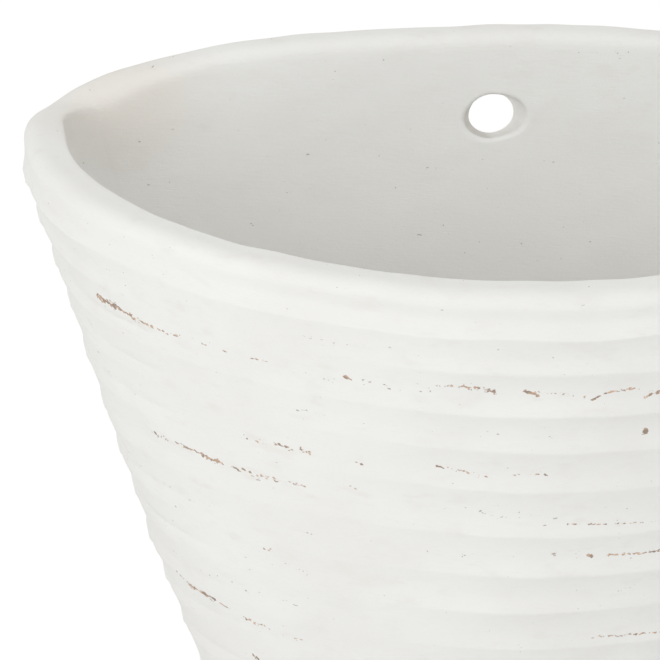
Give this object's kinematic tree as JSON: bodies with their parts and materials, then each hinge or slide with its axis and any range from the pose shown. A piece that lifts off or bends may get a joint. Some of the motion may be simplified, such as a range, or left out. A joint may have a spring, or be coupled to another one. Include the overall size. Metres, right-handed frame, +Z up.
{
  "type": "hanging wall vase",
  "caption": "Half-round wall vase of whitewashed clay with a ringed, tapering front, a rounded lip and a flat arched back that hangs from a hole.",
  "frame": {"origin": "centre of the hanging hole on the flat back face", "axes": "+Z up, +Y out of the back towards the wall, -Y the rounded front, +X to the right seen from the front"},
  "size_m": [0.1882, 0.1057, 0.169],
  "materials": {
    "whitewashed_clay": "matte chalky whitewash over fired red-brown clay, worn through in specks and short streaks that follow the rings"
  },
  "bodies": {
    "root": {"front_wall": "whitewashed_clay", "rim_lip": "whitewashed_clay", "back_slab": "whitewashed_clay", "base_slab": "whitewashed_clay"}
  },
  "joints": []
}
